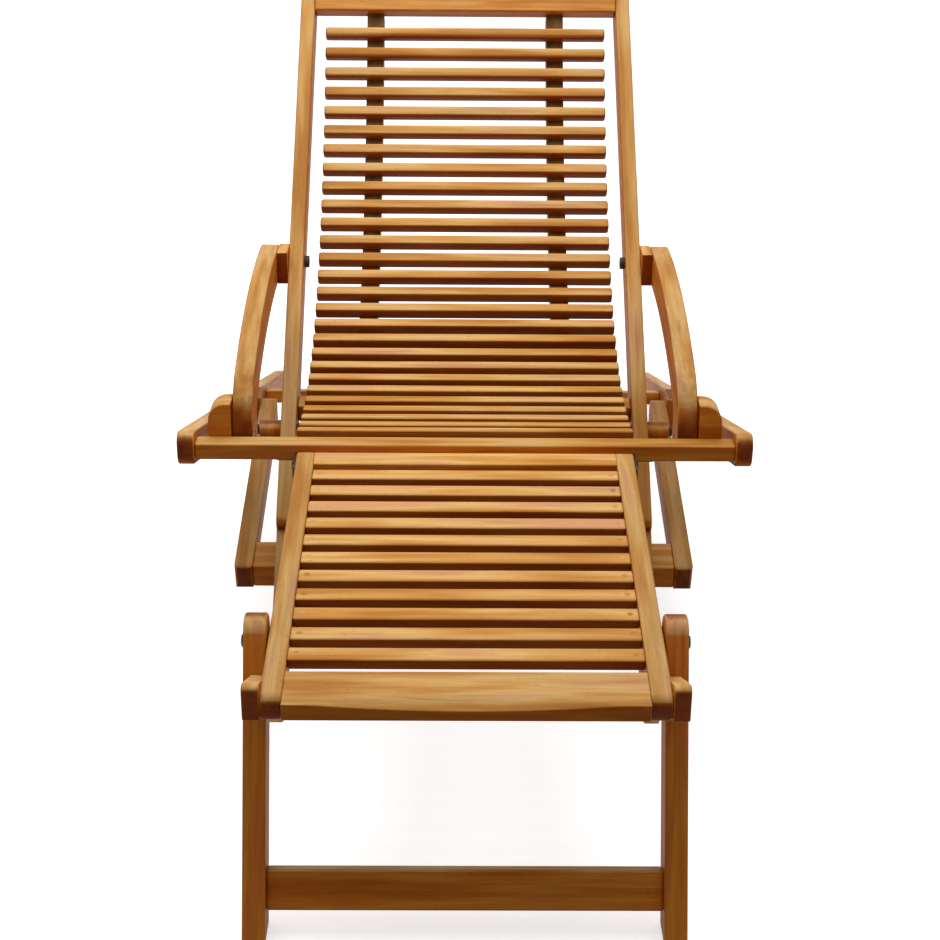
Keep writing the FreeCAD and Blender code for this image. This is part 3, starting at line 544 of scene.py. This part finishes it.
# Ironwork. Bolts, pins, pegs and washers of blackened steel, dulled by weather,
# so they are dark brown-grey with soft, uneven highlights.
STEEL_WORN = "#4A4038"
STEEL_BLACK = "#2C2620"
STEEL_BLOOM = 4 * MM
STEEL_SHINE = 0.45
STEEL_DULL = 0.62


def blackened_steel(name):
    """Blackened steel: dark metal, brushed by handling, dull in patches."""
    material = bpy.data.materials.new(name)
    material.use_nodes = True
    tree = material.node_tree
    shader = tree.nodes["Principled BSDF"]
    place = add_node(tree, "ShaderNodeTexCoord")
    bloom = add_node(tree, "ShaderNodeTexNoise", Vector=(place, "Object"),
                     Scale=1 / STEEL_BLOOM, Detail=3)
    colour = add_node(tree, "ShaderNodeMix", {"data_type": "RGBA"}, Factor=(bloom, "Fac"),
                      i6=linear(STEEL_WORN), i7=linear(STEEL_BLACK))
    tree.links.new(colour.outputs[2], shader.inputs["Base Color"])
    dull = add_node(tree, "ShaderNodeMapRange", Value=(bloom, "Fac"), i1=0.3, i2=0.7,
                    i3=STEEL_SHINE, i4=STEEL_DULL)
    tree.links.new(dull.outputs["Result"], shader.inputs["Roughness"])
    shader.inputs["Metallic"].default_value = 1.0
    return material


steel = blackened_steel("blackened_steel")
for node in ("arm_pegs", "frame_bolts", "prop_pins", "footrest_pins", "arm_bolts", "leg_bolts",
             "leg_washers"):
    finish_node(node, steel)


# Footrest brackets. Bent steel angles, one leaf screwed up under the crossbar and one ear
# down beside each footrest rail, where the footrest's pin turns.
EAR_INNER = 195.3
EAR_OUTER = 198.3
LEAF_END = 221
EAR_FRONT = -338.5
EAR_TOP = 321.3
EAR_FOOT = 302.3
EAR_ROUND = 8.5
LEAF_THICK = 3
LEAF_TOP = 310.7
EAR_BACK = CROSSBAR_FRONT - 1
LEAF_FRONT = CROSSBAR_FRONT + 7
LEAF_BACK = CROSSBAR_FRONT + 20
for side, mirror in (("left", -1), ("right", 1)):
    edges = sorted((mirror * EAR_INNER, mirror * EAR_OUTER))
    angle = blank(side + "_footrest_angle", (edges[0], EAR_FRONT, EAR_FOOT),
                  (edges[1], LEAF_BACK, LEAF_TOP))
    for station in (EAR_BACK, LEAF_FRONT):
        pick(angle, "FACE", lambda x, y, z: True)
        bpy.ops.mesh.bisect(plane_co=(0, station * MM, 0), plane_no=(0, 1, 0))
    pick(angle, "FACE", lambda x, y, z: y < EAR_BACK + 0.5 and z > LEAF_TOP - 0.1)
    bpy.ops.mesh.extrude_region_move(
        TRANSFORM_OT_translate={"value": (0, 0, (EAR_TOP - LEAF_TOP) * MM)})
    bpy.ops.object.mode_set(mode="OBJECT")
    round_over(angle, lambda x, y, z: y < EAR_FRONT + 1 and (z > EAR_TOP - 1 or z < EAR_FOOT + 1),
               EAR_ROUND, 6)
    pick(angle, "FACE", lambda x, y, z: True)
    bpy.ops.mesh.bisect(plane_co=(0, 0, (LEAF_TOP - LEAF_THICK) * MM), plane_no=(0, 0, 1))
    pick(angle, "FACE", lambda x, y, z: abs(x) > EAR_OUTER - 0.1 and y > LEAF_FRONT - 0.5
         and LEAF_TOP - LEAF_THICK - 0.1 < z < LEAF_TOP + 0.1)
    bpy.ops.mesh.extrude_region_move(
        TRANSFORM_OT_translate={"value": (mirror * (LEAF_END - EAR_OUTER) * MM, 0, 0)})
    bpy.ops.object.mode_set(mode="OBJECT")
    finish(angle, steel, "rear_frame", (side + "_footrest_bracket",), arris=0.5)


# Frame sleeves. On each frame bolt a turned acacia spacer stands against the stile, and a slim
# steel tube fills the rest of the way to the side rail.
SPACER_RADIUS = 12
TUBE_RADIUS = 6.5
STILE_FACE = 236.3
SPACER_END = 264
RAIL_FACE = 316
SLEEVE_RIM = 1.2
TUBE_GAP = 0.3
FRAME_PIVOT = (-70.997, 257.73)


def turned_pair(name, radius, inner, outer):
    """Two turned pieces on the frame bolts, one on each side, with a rim round their ends."""
    pieces = []
    for mirror in (-1, 1):
        middle = (mirror * (inner + outer) / 2, *FRAME_PIVOT)
        pieces.append(rod(radius, outer - inner, middle, ALONG_X))
        pick(pieces[-1], "FACE", lambda x, y, z: abs(x) < inner + 0.1 or abs(x) > outer - 0.1)
        bpy.ops.mesh.inset(thickness=SLEEVE_RIM * MM, use_individual=True)
        bpy.ops.object.mode_set(mode="OBJECT")
    return join(pieces, name)


finish(turned_pair("frame_bolt_spacers", SPACER_RADIUS, STILE_FACE, SPACER_END),
       oiled_acacia("acacia_frame_spacers", 90, 197), "rear_frame",
       ("frame_sleeves",), arris=1.5)
finish(turned_pair("frame_bolt_tubes", TUBE_RADIUS, SPACER_END + TUBE_GAP, RAIL_FACE), steel,
       "rear_frame", ("frame_sleeves",), arris=0.4)


# Plugs and screws. Small acacia plugs hide the screws at the ends of the footrest's slats,
# and two countersunk steel screws show on the front of each stop block.
PLUG_RADIUS = 3.2
PLUG_REACH = 165
PLUG_START = -43
PLUG_PITCH = 33.9
PLUG_TOP = 15.15
PLUG_DEPTH = 2
PLUG_RIM = 0.5
PLUG_CROWN = 0.1
PLUG_SHADE = 0.04
plugs = []
plug = rod(PLUG_RADIUS, PLUG_DEPTH, sides=20)
pick(plug, "FACE", lambda x, y, z: z > PLUG_DEPTH / 2 - PLUG_CROWN)
bpy.ops.mesh.inset(thickness=PLUG_RIM * MM)
bpy.ops.transform.translate(value=(0, 0, PLUG_CROWN * MM))
bpy.ops.object.mode_set(mode="OBJECT")
for row in range(FOOT_SLATS):
    for mirror in (-1, 1):
        local = Vector((mirror * PLUG_REACH, PLUG_START - row * PLUG_PITCH,
                        PLUG_TOP - PLUG_CROWN - PLUG_DEPTH / 2))
        turned = Matrix.Rotation(math.radians(FOOT_SLOPE), 3, "X") @ local + Vector(FOOT_PIVOT)
        plugs.append(again(plug, "plug"))
        set_down(plugs[-1], turned, FOOT_SLOPE)
bpy.data.objects.remove(plug)
finish(join(plugs, "footrest_plugs"), oiled_acacia("acacia_plugs", None, 203, PLUG_SHADE),
       "footrest")

SCREW_HEIGHTS = (258, 274)
SCREW_RADIUS = 3
SCREW_LENGTH = 3
SCREW_SEAT = 1.3
SCREW_RIM = 0.7
SCREW_RECESS = 1.2
screws = []
for mirror in (-1, 1):
    for height in SCREW_HEIGHTS:
        head = rod(SCREW_RADIUS, SCREW_LENGTH,
                   (mirror * (BLOCK_INNER + BLOCK_OUTER) / 2, BLOCK_FRONT + SCREW_SEAT, height),
                   (math.pi / 2, 0, 0), 24)
        pick(head, "FACE", lambda x, y, z: y < BLOCK_FRONT)
        bpy.ops.mesh.inset(thickness=SCREW_RIM * MM)
        bpy.ops.transform.translate(value=(0, SCREW_RECESS * MM, 0))
        bpy.ops.object.mode_set(mode="OBJECT")
        screws.append(head)
finish(join(screws, "stop_block_screws"), steel, "footrest")


# Floor and light. A plain pale floor, a white surround and a broad soft lamp overhead,
# as in a product studio.
def background_ray(tree):
    """1 for rays that show the background: camera, glossy and transmission rays."""
    ray = add_node(tree, "ShaderNodeLightPath")
    seen = add_node(tree, "ShaderNodeMath", {"operation": "ADD", "use_clamp": True},
                    i0=(ray, "Is Camera Ray"), i1=(ray, "Is Glossy Ray"))
    return add_node(tree, "ShaderNodeMath", {"operation": "ADD", "use_clamp": True},
                    i0=(seen, "Value"), i1=(ray, "Is Transmission Ray"))


FLOOR_BOUNCE = "#88827A"
FLOOR_WHITE = "#FCFCFB"
NEAR_GLOW = 0.62
FAR_GLOW = 0.90
GLOW_START = 0.9
GLOW_END = 3.0
PAPER_ROUGHNESS = 0.9
FLOOR_SIZE = 60


def floor_material():
    """Matt white paper that glows a little towards the far edge, so the surround stays white."""
    material = bpy.data.materials.new("studio_floor")
    material.use_nodes = True
    tree = material.node_tree
    shader = tree.nodes["Principled BSDF"]
    through = background_ray(tree)
    colour = add_node(tree, "ShaderNodeMix", {"data_type": "RGBA"}, Factor=(through, "Value"),
                      i6=linear(FLOOR_BOUNCE), i7=linear(FLOOR_WHITE))
    tree.links.new(colour.outputs[2], shader.inputs["Base Color"])
    place = add_node(tree, "ShaderNodeTexCoord")
    away = add_node(tree, "ShaderNodeVectorMath", {"operation": "LENGTH"}, i0=(place, "Object"))
    glow = add_node(tree, "ShaderNodeMapRange", Value=(away, "Value"), i1=GLOW_START,
                    i2=GLOW_END, i3=NEAR_GLOW, i4=FAR_GLOW)
    shown = add_node(tree, "ShaderNodeMath", {"operation": "MULTIPLY"}, i0=(glow, "Result"),
                     i1=(through, "Value"))
    tree.links.new(shown.outputs["Value"], shader.inputs["Emission Strength"])
    shader.inputs["Emission Color"].default_value = (1, 1, 1, 1)
    shader.inputs["Roughness"].default_value = PAPER_ROUGHNESS
    shader.inputs["Specular IOR Level"].default_value = 0.0
    return material


bpy.ops.object.select_all(action="DESELECT")
bpy.ops.mesh.primitive_plane_add(size=FLOOR_SIZE, location=(0, 0, 0))
floor = bpy.context.object
floor.name = "studio_floor"
floor.data.materials.append(floor_material())

WORLD_LIGHT = 0.27
world = bpy.data.worlds.new("studio")
bpy.context.scene.world = world
world.use_nodes = True
strength = add_node(world.node_tree, "ShaderNodeMapRange",
                    Value=(background_ray(world.node_tree), "Value"), i1=0.0, i2=1.0,
                    i3=WORLD_LIGHT, i4=1.0)
backdrop = world.node_tree.nodes["Background"]
backdrop.inputs["Color"].default_value = (1, 1, 1, 1)
world.node_tree.links.new(strength.outputs["Result"], backdrop.inputs["Strength"])

LAMP_SIZE = 2.2
LAMP_POWER = 48
LAMP_PLACE = (-0.15, 0.10, 2.25)
bpy.ops.object.light_add(type="AREA", location=LAMP_PLACE)
lamp = bpy.context.object
lamp.data.size = LAMP_SIZE
lamp.data.energy = LAMP_POWER

# Camera. It stands in front of the footrest at chest height and looks down on the chair.
CAMERA_PLACE = Vector((-0.0120, -2.2084, 1.1401))
CAMERA_YAW = math.radians(0.5315)
CAMERA_PITCH = math.radians(23.713)
CAMERA_ROLL = math.radians(0.478)
FOCAL_PIXELS = 1783.1
FRAME_PIXELS = 940
SENSOR_WIDTH = 36
forward = Vector((math.sin(CAMERA_YAW) * math.cos(CAMERA_PITCH),
                  math.cos(CAMERA_YAW) * math.cos(CAMERA_PITCH), -math.sin(CAMERA_PITCH)))
right = Vector((math.cos(CAMERA_YAW), -math.sin(CAMERA_YAW), 0))
up = right.cross(forward)
tilt = Matrix.Rotation(-CAMERA_ROLL, 3, forward)
right = tilt @ right
up = tilt @ up
bpy.ops.object.camera_add(location=CAMERA_PLACE)
camera = bpy.context.object
camera.rotation_euler = Matrix((right, up, -forward)).transposed().to_euler()
camera.data.sensor_width = SENSOR_WIDTH
camera.data.lens = FOCAL_PIXELS / FRAME_PIXELS * SENSOR_WIDTH
bpy.context.scene.camera = camera
bpy.context.scene.view_settings.view_transform = "Standard"
